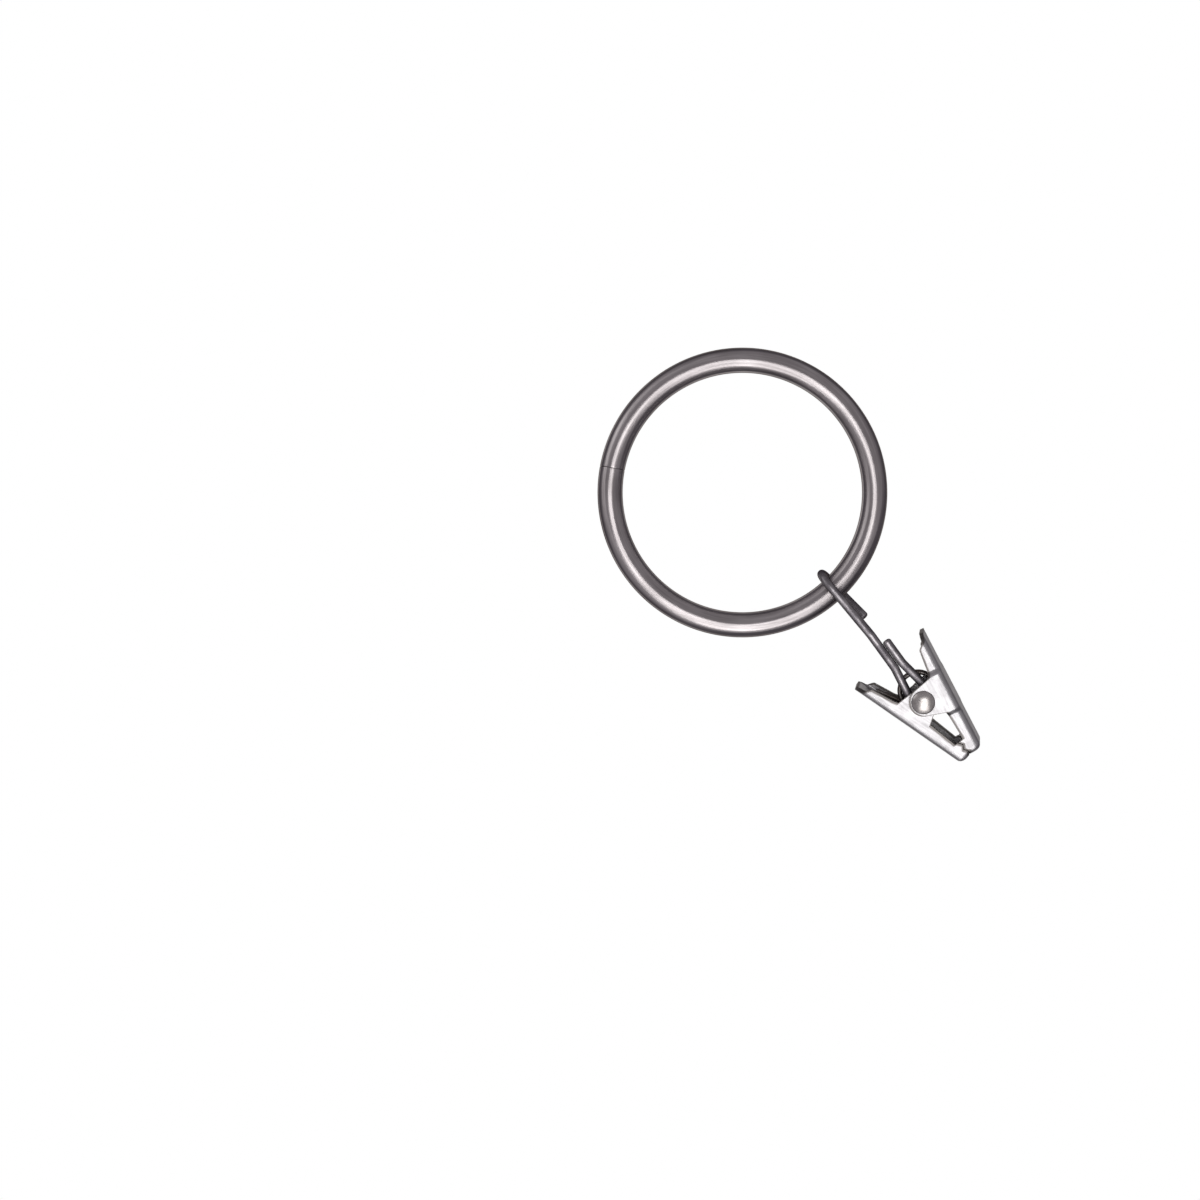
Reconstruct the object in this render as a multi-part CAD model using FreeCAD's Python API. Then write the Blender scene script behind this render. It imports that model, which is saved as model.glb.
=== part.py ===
import FreeCAD, Part

import math
import os

# Curtain ring with a spring clip. A wire hook runs round a bent steel ring, and a clip of two
# folded sheet jaws hangs from the hook on a rivet, held shut by a torsion spring.
# Millimetres. Origin at the ring's centre, ring axis along Y, clip hanging toward -Z.

Vec = FreeCAD.Vector

# Ring
RING_BORE = 38.0
ROD_DIA = 4.0
SEAM_ANGLE = 128.0
SEAM_GAP = 0.16
SEAM_EDGE = 0.18

# Hook
WIRE_DIA = 1.4
HANG = 22.5
HOOK_TURN = 11.0
HOOK_ASIDE = 0.85
HOOK_SLACK = 0.2
FREE_LEG = 6.9
FREE_LEG_CLOSE = 1.2
FREE_LEG_ASIDE = 0.5
TAIL_LENGTH = 11.2
STEM_LENGTH = 13.2
TAIL_LEAN = 5.5
EYE_LENGTH = 6.8
EYE_SLACK = 0.12
STRAND_GAP = 0.12
WIRE_END_EDGE = 0.4

# Clip as a whole
CLIP_TURN = -13.0
JAW_WIDTH = 6.6
JAW_LEAN = 14.0
SPINE_OFFSET = 4.8
SHEET = 0.6
FOLD_RADIUS = 1.0
SIDE_SLACK = 0.2

# Jaw outline, measured along the jaw from the rivet
TIP_REACH = 10.8
HANDLE_REACH = 9.8
SHOULDER = 3.0
EAR_MARGIN = 0.4
CHEEK_ROOT = 2.35
CHEEK_TIP = 2.0
HANDLE_CHEEK_ROOT = 2.1
HANDLE_CHEEK_END = 1.7
NOSE_RADIUS = 1.1
NOSE_CORNER = 1.0
TONGUE_LENGTH = 2.4
TONGUE_CORNER = 1.4
CHEEK_END = 1.3
EAR_LAP = 0.06
JOGGLE_RUN = 0.6

# Mouth
MOUTH_TOP = 8.5
TOOTH_COUNT = 2
TOOTH_DEPTH = 0.42
MOUTH_GAP = 0.16

# Rivet
RIVET_DIA = 1.9
RIVET_FIT = 0.05
HEAD_DIA = 3.7
HEAD_HEIGHT = 0.75
HEAD_RIM = 0.2
HEAD_PLAY = 0.03
ROLL_DIA = 3.2
ROLL_HEIGHT = 0.6
TUBE_DIA = 1.0
TUBE_DEPTH = 2.2

# Spring
SPRING_WIRE = 0.7
SPRING_SLACK = 1.6
SPRING_SEAT = 0.15
COIL_GAP = 0.09
LEG_REACH = 6.6
LEG_GAP = 0.1

# Derived sizes
ring_radius = (RING_BORE + ROD_DIA) / 2
pivot_height = -ring_radius - HANG
rivet_radius = RIVET_DIA / 2
ear_radius = HEAD_DIA / 2 + EAR_MARGIN
lean = math.radians(JAW_LEAN)
half_width = JAW_WIDTH / 2
inside_half = half_width - SHEET
ear_face = half_width + EAR_LAP + SHEET
strand_half = (WIRE_DIA + STRAND_GAP) / 2
loop_plane = -inside_half + SIDE_SLACK + WIRE_DIA / 2
coil_start = loop_plane + WIRE_DIA / 2 + SIDE_SLACK
coil_end = inside_half - SIDE_SLACK
coil_radius = rivet_radius + SPRING_SLACK + SPRING_WIRE / 2
coil_height = SPRING_SLACK - SPRING_SEAT

# The clip stands on its rivet, turned a little about the vertical from the ring's own plane
clip_place = FreeCAD.Placement(Vec(0, 0, pivot_height), FreeCAD.Rotation(Vec(0, 0, 1), CLIP_TURN))


def bent_path(points, radii):
    """Straight runs from point to point, with a tangent arc of the given radius at each corner."""
    edges = []
    start = points[0]
    for before, corner, after, radius in zip(points, points[1:], points[2:], radii):
        back = (before - corner).normalize()
        ahead = (after - corner).normalize()
        half = back.getAngle(ahead) / 2
        reach = radius / math.tan(half)
        first = corner + back * reach
        last = corner + ahead * reach
        middle = corner + (back + ahead).normalize() * (radius / math.sin(half) - radius)
        if start.distanceToPoint(first) > 1e-4:
            edges.append(Part.LineSegment(start, first).toShape())
        edges.append(Part.Arc(first, middle, last).toShape())
        start = last
    edges.append(Part.LineSegment(start, points[-1]).toShape())
    return Part.Wire(edges)


def round_bar(path, diameter):
    """A round bar along the path."""
    first = path.Edges[0]
    at = first.valueAt(first.FirstParameter)
    along = first.tangentAt(first.FirstParameter)
    section = Part.Wire(Part.makeCircle(diameter / 2, at, along))
    return path.makePipeShell([section], True, True)


def rims_at(solid, points):
    """The round edges centred on the given points."""
    found = []
    for edge in solid.Edges:
        if any(edge.CenterOfMass.distanceToPoint(point) < 1e-3 for point in points):
            found.append(edge)
    return found


def closed_face(edges):
    return Part.Face(Part.Wire(edges))


def lines(points):
    """Straight edges through the points."""
    return [Part.LineSegment(a, b).toShape() for a, b in zip(points, points[1:])]


def make_ring():
    """Round rod bent to a circle, its two ends butted with eased edges and a hairline gap."""
    section = closed_face([Part.makeCircle(ROD_DIA / 2, Vec(ring_radius, 0, 0), Vec(0, 0, 1))])
    gap = math.degrees(SEAM_GAP / ring_radius)
    rod = section.revolve(Vec(0, 0, 0), Vec(0, -1, 0), 360 - gap)
    far_end = math.radians(360 - gap)
    ends = [Vec(ring_radius, 0, 0)]
    ends.append(Vec(math.cos(far_end), 0, math.sin(far_end)) * ring_radius)
    rod = rod.makeChamfer(SEAM_EDGE, rims_at(rod, ends))
    rod.rotate(Vec(0, 0, 0), Vec(0, -1, 0), SEAM_ANGLE + gap / 2)
    return rod


def make_hook():
    """One wire: a hook over the ring's rod, a straight stem and a closed loop round the rivet."""
    bend = (ROD_DIA / 2) / math.cos(math.radians(HOOK_TURN)) + HOOK_SLACK + WIRE_DIA / 2
    turn = math.radians(HOOK_TURN)
    side = Vec(math.sin(turn), math.cos(turn), 0)
    rod_at = Vec(HOOK_ASIDE, 0, -math.sqrt(ring_radius**2 - HOOK_ASIDE**2))
    up = Vec(0, 0, 1)
    leg_end = rod_at + side * FREE_LEG_CLOSE + Vec(FREE_LEG_ASIDE, 0, -FREE_LEG)
    leg_bend = rod_at + side * bend - up * (ROD_DIA * 0.4)
    top_back = rod_at + side * bend + up * bend
    top_front = rod_at - side * bend + up * bend
    stem_bend = rod_at - side * bend - up * (ROD_DIA * 0.4)

    eye = rivet_radius + EYE_SLACK + WIRE_DIA / 2
    slope = math.asin(eye / math.hypot(strand_half, EYE_LENGTH)) - math.atan2(strand_half, EYE_LENGTH)
    foot = eye * (1 + math.sin(slope)) / math.cos(slope)
    tail = [(foot, -eye), (strand_half, EYE_LENGTH), (strand_half, TAIL_LENGTH)]
    stem = [(-strand_half, STEM_LENGTH), (-strand_half, EYE_LENGTH), (-foot, -eye)]
    leaning = FreeCAD.Rotation(Vec(0, 1, 0), TAIL_LEAN)
    low = [clip_place.multVec(leaning.multVec(Vec(x, loop_plane, z))) for x, z in stem + tail]

    points = [leg_end, leg_bend, top_back, top_front, stem_bend] + low
    easy = 2 * WIRE_DIA
    radii = [easy, bend, bend, easy, easy, easy, eye, eye, easy]
    wire = round_bar(bent_path(points, radii), WIRE_DIA)
    return wire.makeFillet(WIRE_END_EDGE, rims_at(wire, [points[0], points[-1]]))


def channel_section(half, height):
    """U of the folded sheet at one height: the spine across the back, a cheek on either side."""
    back = -SPINE_OFFSET
    top = ear_radius + SHEET
    centre = back + FOLD_RADIUS
    inner = FOLD_RADIUS - SHEET
    diagonal = math.sqrt(0.5)

    def corner(sign, radius):
        middle = Vec(centre - radius * diagonal, sign * (half - FOLD_RADIUS + radius * diagonal), height)
        cheek = Vec(centre, sign * (half - FOLD_RADIUS + radius), height)
        spine = Vec(centre - radius, sign * (half - FOLD_RADIUS), height)
        return cheek, middle, spine

    outer_far = corner(1, FOLD_RADIUS)
    outer_near = corner(-1, FOLD_RADIUS)
    inner_near = corner(-1, inner)
    inner_far = corner(1, inner)
    edges = lines([Vec(top, half, height), outer_far[0]])
    edges.append(Part.Arc(*outer_far).toShape())
    edges += lines([outer_far[2], outer_near[2]])
    edges.append(Part.Arc(*reversed(outer_near)).toShape())
    edges += lines([outer_near[0], Vec(top, -half, height), Vec(top, -half + SHEET, height), inner_near[0]])
    edges.append(Part.Arc(*inner_near).toShape())
    edges += lines([inner_near[2], inner_far[2]])
    edges.append(Part.Arc(*reversed(inner_far)).toShape())
    edges += lines([inner_far[0], Vec(top, half - SHEET, height), Vec(top, half, height)])
    return Part.Wire(edges)


def mouth_point(offset, drop):
    """A point of the mouth line, given in the clip's upright frame, in the frame of a leaning jaw."""
    x = offset * math.cos(lean) - drop * math.sin(lean)
    z = -offset * math.sin(lean) - drop * math.cos(lean)
    return Vec(x, 0, z)


def jaw_outline(phase):
    """Side outline of a jaw: nose, teeth, cheek, ear lobe, handle cheek and tongue."""
    back = -SPINE_OFFSET
    tip = -TIP_REACH
    teeth = []
    steps = 2 * TOOTH_COUNT
    bottom = TIP_REACH / math.cos(lean)
    for step in range(steps + 1):
        drop = bottom + (MOUTH_TOP - bottom) * step / steps
        rise = TOOTH_DEPTH / 2 if (step + phase) % 2 else -TOOTH_DEPTH / 2
        teeth.append(mouth_point(rise - MOUTH_GAP / 2, drop))
    teeth[0] = Vec(teeth[0].x, 0, tip)
    cheek_tip = Vec(back + CHEEK_TIP, 0, teeth[-1].z + TOOTH_DEPTH / 2)
    shoulder_low = Vec(back + CHEEK_ROOT, 0, -SHOULDER)
    shoulder_high = Vec(back + CHEEK_ROOT, 0, SHOULDER)
    lobe = [tangent_point(shoulder_low, -1), Vec(ear_radius, 0, 0), tangent_point(shoulder_high, 1)]
    handle_root = Vec(back + HANDLE_CHEEK_ROOT, 0, SHOULDER + JOGGLE_RUN)
    tongue_root = HANDLE_REACH - TONGUE_LENGTH
    handle_end = Vec(back + HANDLE_CHEEK_END, 0, tongue_root)
    tongue = Vec(back + SHEET, 0, tongue_root + CHEEK_END)
    nose_end = Vec(back + NOSE_RADIUS, 0, tip)
    nose_start = Vec(back, 0, tip + NOSE_RADIUS)
    diagonal = NOSE_RADIUS * (1 - math.sqrt(0.5))
    nose_middle = Vec(back + diagonal, 0, tip + diagonal)

    edges = [Part.Arc(nose_start, nose_middle, nose_end).toShape()]
    edges += lines([nose_end] + teeth + [cheek_tip, shoulder_low, lobe[0]])
    edges.append(Part.Arc(*lobe).toShape())
    edges += lines([lobe[2], shoulder_high, handle_root, handle_end, tongue])
    edges += lines([tongue, Vec(back + SHEET, 0, HANDLE_REACH), Vec(back, 0, HANDLE_REACH), nose_start])
    return closed_face(edges)


def tangent_point(point, side):
    """Where a line from the point touches the ear lobe, on its lower (-1) or upper (1) side."""
    distance = math.hypot(point.x, point.z)
    angle = math.atan2(point.z, point.x) - side * math.acos(ear_radius / distance)
    return Vec(ear_radius * math.cos(angle), 0, ear_radius * math.sin(angle))


def corner_cut(side, end, radius, inward):
    """The sheet taken away outside a rounded corner at one end of the spine."""
    edge = side * half_width
    square = Vec(0, edge, end)
    on_side = Vec(0, edge, end + inward * radius)
    on_end = Vec(0, edge - side * radius, end)
    inset = radius * (1 - math.sqrt(0.5))
    middle = Vec(0, edge - side * inset, end + inward * inset)
    face = closed_face(lines([on_end, square, on_side]) + [Part.Arc(on_side, middle, on_end).toShape()])
    face.translate(Vec(-2 * SPINE_OFFSET, 0, 0))
    return face.extrude(Vec(4 * SPINE_OFFSET, 0, 0))


def make_jaw(phase, joggle):
    """Folded sheet jaw. Its ears stand out by the joggle, to lap over the other jaw's."""
    heights = [-TIP_REACH, HANDLE_REACH]
    halves = [half_width, half_width]
    if joggle > 0:
        zone = [-SHOULDER - JOGGLE_RUN, -SHOULDER, SHOULDER, SHOULDER + JOGGLE_RUN]
        heights[1:1] = zone
        halves[1:1] = [half_width, half_width + joggle, half_width + joggle, half_width]
    sections = [channel_section(half, height) for half, height in zip(halves, heights)]
    channel = Part.makeLoft(sections, True, True)
    nose = Part.makeBox(2 * SPINE_OFFSET, 2 * inside_half + SHEET, SHEET)
    nose.translate(Vec(-SPINE_OFFSET, -inside_half - SHEET / 2, -TIP_REACH))
    keep = jaw_outline(phase)
    keep.translate(Vec(0, -JAW_WIDTH, 0))
    jaw = channel.fuse(nose).common(keep.extrude(Vec(0, 2 * JAW_WIDTH, 0)))
    for side in (-1, 1):
        jaw = jaw.cut(corner_cut(side, -TIP_REACH, NOSE_CORNER, 1))
        jaw = jaw.cut(corner_cut(side, HANDLE_REACH, TONGUE_CORNER, -1))
    below = Vec(0, -2 * JAW_WIDTH, 0)
    bore = Part.makeCylinder(rivet_radius + RIVET_FIT, 4 * JAW_WIDTH, below, Vec(0, 1, 0))
    jaw = jaw.cut(bore).removeSplitter()
    jaw.rotate(Vec(0, 0, 0), Vec(0, 1, 0), -JAW_LEAN)
    return jaw


def make_outer_jaw():
    jaw = make_jaw(1, SHEET + EAR_LAP)
    jaw.rotate(Vec(0, 0, 0), Vec(0, 0, 1), 180)
    return jaw


def make_inner_jaw():
    return make_jaw(0, 0)


def make_rivet():
    """Half-tubular rivet: a domed head on the near side, the far end rolled over to a rim."""
    seat = ear_face + HEAD_PLAY
    head = HEAD_DIA / 2
    roll = ROLL_DIA / 2
    tube = TUBE_DIA / 2
    rim = -seat - HEAD_RIM
    crown = -seat - HEAD_HEIGHT
    cap_height = HEAD_HEIGHT - HEAD_RIM
    cap_radius = (head * head + cap_height * cap_height) / (2 * cap_height)
    half_angle = math.asin(head / cap_radius) / 2
    on_dome = Vec(cap_radius * math.sin(half_angle), crown + cap_radius * (1 - math.cos(half_angle)), 0)
    edges = [Part.Arc(Vec(0, crown, 0), on_dome, Vec(head, rim, 0)).toShape()]
    edges += lines([Vec(head, rim, 0), Vec(head, -seat, 0), Vec(rivet_radius, -seat, 0)])
    edges += lines([Vec(rivet_radius, -seat, 0), Vec(rivet_radius, seat, 0), Vec(roll, seat, 0)])
    on_roll = Vec((roll + tube) / 2, seat + ROLL_HEIGHT, 0)
    edges.append(Part.Arc(Vec(roll, seat, 0), on_roll, Vec(tube, seat, 0)).toShape())
    floor = seat - TUBE_DEPTH
    edges += lines([Vec(tube, seat, 0), Vec(tube, floor, 0), Vec(0, floor, 0), Vec(0, crown, 0)])
    return closed_face(edges).revolve(Vec(0, 0, 0), Vec(0, 1, 0), 360)


def make_spring():
    """Torsion spring: a close coil round the rivet with one leg up behind each handle."""
    handle = SPINE_OFFSET - SHEET - SPRING_WIRE / 2 - LEG_GAP
    leg_x = handle * math.cos(lean) + LEG_REACH * math.sin(lean)
    leg_z = LEG_REACH * math.cos(lean) - handle * math.sin(lean) - coil_height
    distance = math.hypot(leg_x, leg_z)
    leg = math.sqrt(distance * distance - coil_radius * coil_radius)
    touch = math.atan2(leg_z, leg_x) - math.acos(coil_radius / distance)
    start = math.pi - touch
    wrap = 0.5 + touch / math.pi
    pitch = SPRING_WIRE + COIL_GAP
    slope = pitch / (2 * math.pi * coil_radius)
    room = coil_end - coil_start - SPRING_WIRE - 2 * leg * slope
    height = pitch * (math.floor(room / pitch - wrap) + wrap)

    coil = Part.makeHelix(pitch, height, coil_radius)
    coil.rotate(Vec(0, 0, 0), Vec(0, 0, 1), math.degrees(start))
    first = Vec(math.cos(start), math.sin(start), 0) * coil_radius
    last = Vec(math.cos(touch), math.sin(touch), 0) * coil_radius + Vec(0, 0, height)
    leg_in = lines([first - Vec(-math.sin(start), math.cos(start), slope) * leg, first])
    leg_out = lines([last, last + Vec(-math.sin(touch), math.cos(touch), slope) * leg])
    spring = round_bar(Part.Wire(leg_in + coil.Edges + leg_out), SPRING_WIRE)
    spring.rotate(Vec(0, 0, 0), Vec(1, 0, 0), 90)
    spring.translate(Vec(0, (coil_start + coil_end + height) / 2, coil_height))
    return spring


def in_clip(shape):
    """The shape, drawn about the rivet, set at its place on the hook."""
    shape.Placement = clip_place.multiply(shape.Placement)
    return shape


os.makedirs("parts", exist_ok=True)
make_ring().exportStep("parts/ring.step")
make_hook().exportStep("parts/hook.step")
in_clip(make_outer_jaw()).exportStep("parts/outer_jaw.step")
in_clip(make_inner_jaw()).exportStep("parts/inner_jaw.step")
in_clip(make_rivet()).exportStep("parts/rivet.step")
in_clip(make_spring()).exportStep("parts/spring.step")
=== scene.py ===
import math

import bmesh
import bpy
import mathutils
import numpy as np
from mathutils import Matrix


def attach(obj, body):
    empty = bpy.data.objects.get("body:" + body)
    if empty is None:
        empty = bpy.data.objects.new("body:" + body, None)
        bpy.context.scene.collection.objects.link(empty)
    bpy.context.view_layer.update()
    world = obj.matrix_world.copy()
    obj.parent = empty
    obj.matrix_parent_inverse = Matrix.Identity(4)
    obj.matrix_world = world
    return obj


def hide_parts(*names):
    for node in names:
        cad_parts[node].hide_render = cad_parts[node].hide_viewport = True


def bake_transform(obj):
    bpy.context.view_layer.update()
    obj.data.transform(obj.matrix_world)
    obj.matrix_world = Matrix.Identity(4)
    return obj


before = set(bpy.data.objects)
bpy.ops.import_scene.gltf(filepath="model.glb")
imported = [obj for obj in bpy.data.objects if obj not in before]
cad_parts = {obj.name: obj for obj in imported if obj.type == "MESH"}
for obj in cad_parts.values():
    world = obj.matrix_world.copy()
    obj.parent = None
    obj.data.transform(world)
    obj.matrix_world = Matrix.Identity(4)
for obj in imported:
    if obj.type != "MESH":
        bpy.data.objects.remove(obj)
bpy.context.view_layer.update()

# The ring is round steel rod, 4 mm thick, bent to a circle and butted end to end at a fine seam.
# It was plated after bending, so the satin nickel runs over the eased edges into the seam.
# It slides along the curtain rod and carries the wire hook.
MM = 0.001
RING_RADIUS = 21.0 * MM
ROD_RADIUS = 2.0 * MM
SEAM_ANGLE = math.radians(128)
SEAM_GAP = 0.03 * MM
SEAM_EDGE = 0.1 * MM
RING_STATIONS, RING_SIDES = 400, 64
EDGE_ROWS = 7
END_FACE_ROW = 0.6
MERGE_DISTANCE = 0.0001 * MM


def eased_bar(length, radius, edge, count):
    """Stations along a bar and its radius at each: from the middle of a flat end out to its rim,
    round a quarter circle at the edge, along the plain bar, and the same back at the other end."""
    turn = np.linspace(0, np.pi / 2, EDGE_ROWS)
    end = np.concatenate([[0, 0], edge * (1 - np.cos(turn))])
    rim = np.concatenate([[0, END_FACE_ROW * (radius - edge)], radius - edge * (1 - np.sin(turn))])
    body = np.linspace(edge, length - edge, count)[1:-1]
    along = np.concatenate([end, body, length - end[::-1]])
    return along, np.concatenate([rim, np.full(len(body), radius), rim[::-1]])


def grid_mesh(name, points, round_section, marks, more_faces=()):
    """A mesh over rows of points, four to a face, and any more faces, given by the numbers of their
    points. A round section joins its last column to its first. Marks are values kept on points."""
    rows, columns = points.shape[:2]
    index = np.arange(rows * columns).reshape(rows, columns)
    beside = np.roll(index, -1, axis=1)
    last = columns if round_section else columns - 1
    quads = np.stack([index[:-1], beside[:-1], beside[1:], index[1:]], axis=-1)[:, :last]
    faces = quads.reshape(-1, 4).tolist() + list(more_faces)
    mesh = bpy.data.meshes.new(name)
    mesh.from_pydata(points.reshape(-1, 3).tolist(), [], faces)
    for mark, values in marks.items():
        kind, field = ("FLOAT", "value") if values.ndim == 2 else ("FLOAT_VECTOR", "vector")
        stored = mesh.attributes.new(mark, kind, "POINT")
        stored.data.foreach_set(field, values.astype(np.float32).ravel())
    return mesh


def round_bar(name, middle, ahead, beside, along, radius, sides):
    """A bar with round section: at each station a circle of the given radius, square to the line,
    whose first point lies toward the side direction. Its mark is the place on the bar in metres:
    two ways across, as if the bar were full thickness all along, and then the way along."""
    across = beside - (ahead * beside).sum(1, keepdims=True) * ahead
    across /= np.linalg.norm(across, axis=1, keepdims=True)
    over = np.cross(ahead, across)
    turn = np.linspace(0, 2 * np.pi, sides, endpoint=False)
    out = across[:, None] * np.cos(turn)[:, None] + over[:, None] * np.sin(turn)[:, None]
    points = middle[:, None] + radius[:, None, None] * out
    thick = radius.max() * np.stack([np.cos(turn), np.sin(turn)], axis=-1)
    place = np.concatenate([
        np.broadcast_to(thick, (len(along), sides, 2)),
        np.broadcast_to(along[:, None, None], (len(along), sides, 1)),
    ], axis=-1)
    return grid_mesh(name, points, True, {"bar": place})


def finished_piece(mesh, material, sharp_degrees):
    """The object for a mesh: points in one place merged, so that rows that shrink to a point close,
    faces turned outward, and shading smooth up to the sharp angle."""
    work = bmesh.new()
    work.from_mesh(mesh)
    bmesh.ops.remove_doubles(work, verts=work.verts, dist=MERGE_DISTANCE)
    bmesh.ops.recalc_face_normals(work, faces=work.faces)
    work.to_mesh(mesh)
    work.free()
    mesh.shade_smooth()
    mesh.set_sharp_from_angle(angle=math.radians(sharp_degrees))
    mesh.materials.append(material)
    piece = bpy.data.objects.new(mesh.name, mesh)
    bpy.context.scene.collection.objects.link(piece)
    return piece


def linear(hex_colour):
    """Linear colour of an sRGB hex value."""
    parts = np.array([int(hex_colour[i : i + 2], 16) for i in (1, 3, 5)]) / 255
    low = parts / 12.92
    high = ((parts + 0.055) / 1.055) ** 2.4
    return (*np.where(parts <= 0.04045, low, high).tolist(), 1.0)


def new_material(name):
    """An empty node material and its tree."""
    material = bpy.data.materials.new(name)
    material.use_nodes = True
    material.node_tree.nodes.clear()
    return material, material.node_tree


def node(tree, kind, inputs=None, **settings):
    """Adds a node. Settings are its own properties. Inputs are values, or sockets to link from.
    Sockets that share a name are given by number: a colour Mix has its factor at 0, its colours
    at 6 and 7."""
    made = tree.nodes.new(kind)
    for name, value in settings.items():
        setattr(made, name, value)
    for name, value in (inputs or {}).items():
        if isinstance(value, bpy.types.NodeSocket):
            tree.links.new(value, made.inputs[name])
        else:
            made.inputs[name].default_value = value
    return made


# Satin nickel on drawn steel rod: a warm grey metal with a soft bright band. Drawing leaves fine
# lines along the rod, which pull the band out all the way round the ring, and the plating bath
# leaves faint clouds 4 mm wide. The lines are 0.25 mm apart, coarser than real ones, so as to show.
ROD_LINE, ROD_LINE_STRETCH = 1 / (0.25 * MM), 30
ROD_CLOUD = 1 / (4.0 * MM)
# A dark specular tint darkens each metal's reflection toward its grazing edges: painted shade on
# the edges of rod, wire, spring and rivet.
GRAZING_EDGE_SHADE_TINT = linear("#5c5653")
satin_nickel, tree = new_material("satin_nickel_rod")
place = node(tree, "ShaderNodeAttribute", attribute_name="bar").outputs["Vector"]
stretched = node(tree, "ShaderNodeMapping", {
    "Vector": place, "Scale": (ROD_LINE, ROD_LINE, ROD_LINE / ROD_LINE_STRETCH)}).outputs[0]
lines = node(tree, "ShaderNodeTexNoise", {
    "Vector": stretched, "Scale": 1.0, "Detail": 3.0}).outputs[0]
spread = node(tree, "ShaderNodeMapping", {
    "Vector": place, "Scale": (ROD_CLOUD, ROD_CLOUD, ROD_CLOUD / 2)}).outputs[0]
clouds = node(tree, "ShaderNodeTexNoise", {
    "Vector": spread, "Scale": 1.0, "Detail": 4.0}).outputs[0]
both = node(tree, "ShaderNodeMath", {0: lines, 1: clouds}, operation="ADD").outputs[0]
shade = node(tree, "ShaderNodeMapRange", {
    "Value": both, "From Min": 0.75, "From Max": 1.25}).outputs[0]
colour = node(tree, "ShaderNodeMix", {
    0: shade, 6: linear("#a8a2a2"), 7: linear("#c8c2c2")}, data_type="RGBA").outputs[2]
gloss = node(tree, "ShaderNodeMapRange", {
    "Value": both, "From Min": 0.7, "From Max": 1.3, "To Min": 0.34, "To Max": 0.28}).outputs[0]
relief = node(tree, "ShaderNodeBump", {
    "Height": lines, "Strength": 0.05, "Distance": 0.02 * MM}).outputs[0]
round_ring = node(tree, "ShaderNodeTangent", direction_type="RADIAL", axis="Y").outputs[0]
metal = node(tree, "ShaderNodeBsdfPrincipled", {
    "Base Color": colour, "Roughness": gloss, "Normal": relief, "Tangent": round_ring,
    "Anisotropic": 0.95, "Metallic": 1.0, "Specular Tint": GRAZING_EDGE_SHADE_TINT}).outputs[0]
node(tree, "ShaderNodeOutputMaterial", {"Surface": metal})

rod_length = 2 * math.pi * RING_RADIUS - SEAM_GAP
rod_along, rod_radius = eased_bar(rod_length, ROD_RADIUS, SEAM_EDGE, RING_STATIONS)
rod_angle = SEAM_ANGLE + (rod_along + SEAM_GAP / 2) / RING_RADIUS
level = np.zeros_like(rod_angle)
ring_mesh = round_bar(
    "ring_rod",
    RING_RADIUS * np.stack([np.cos(rod_angle), level, np.sin(rod_angle)], axis=1),
    np.stack([-np.sin(rod_angle), level, np.cos(rod_angle)], axis=1),
    np.array([[0.0, 1.0, 0.0]]),
    rod_along,
    rod_radius,
    RING_SIDES,
)
ring = finished_piece(ring_mesh, satin_nickel, sharp_degrees=60)
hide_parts("ring")
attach(ring, "ring")

# The hook is one length of 1.4 mm wire. It is bent over the ring's rod with a short free leg
# behind, runs down as a straight stem, goes round the rivet in a long eye and ends in a short tail
# beside the stem. It is plated like the ring but duller, and the plating is broken in dark patches.
WIRE_RADIUS = 0.7 * MM
WIRE_END_EDGE = 0.4 * MM
WIRE_SIDES, HOOK_STATIONS = 32, 420
BEND_POINTS = 40
LINE_STEP = 0.04 * MM
HOOK_TURN = math.radians(11)
HOOK_ASIDE = 0.85 * MM
HOOK_SLACK = 0.2 * MM
HOOK_SHOULDER = 0.8 * ROD_RADIUS
FREE_LEG_ASIDE, FREE_LEG_BEHIND, FREE_LEG_DROP = 0.5 * MM, 1.2 * MM, 6.9 * MM
RIVET_DROP = 43.5 * MM
CLIP_TURN = math.radians(-13)
LOOP_PLANE = -1.8 * MM
EYE_RADIUS = 1.77 * MM
EYE_LENGTH = 6.8 * MM
TAIL_LENGTH = 11.2 * MM
STEM_LENGTH = 13.2 * MM
TAIL_LEAN = math.radians(5.5)
STRAND_HALF = 0.71 * MM
EASY_BEND = 4 * WIRE_RADIUS


def in_clip(points):
    """Points drawn about the rivet, turned about the vertical and lowered to the clip's place."""
    x, y, z = np.moveaxis(np.asarray(points, float), -1, 0)
    cos, sin = math.cos(CLIP_TURN), math.sin(CLIP_TURN)
    return np.stack([x * cos - y * sin, x * sin + y * cos, z - RIVET_DROP], axis=-1)


def run_along(line):
    """The way along a line of points, from its first point to each."""
    return np.concatenate([[0], np.cumsum(np.linalg.norm(np.diff(line, axis=0), axis=1))])


def bent_line(corners, radii):
    """Points a step apart on straight runs from corner to corner, each corner rounded by a tangent
    arc. An arc turns about its centre from the end of one run to the start of the next."""
    parts = [corners[:1]]
    for before, corner, after, radius in zip(corners, corners[1:], corners[2:], radii):
        back = (before - corner) / np.linalg.norm(before - corner)
        ahead = (after - corner) / np.linalg.norm(after - corner)
        half = np.arccos(np.clip(back @ ahead, -1, 1)) / 2
        inward = (back + ahead) / np.linalg.norm(back + ahead)
        centre = corner + inward * radius / np.sin(half)
        arm = corner + back * radius / np.tan(half) - centre
        forward = -back * radius
        turn = np.linspace(0, np.pi - 2 * half, BEND_POINTS)[:, None]
        parts.append(centre + arm * np.cos(turn) + forward * np.sin(turn))
    line = np.concatenate(parts + [corners[-1:]])
    run = run_along(line)
    even = np.linspace(0, run[-1], int(run[-1] / LINE_STEP))
    return np.stack([np.interp(even, run, line[:, i]) for i in range(3)], axis=1), even


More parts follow.
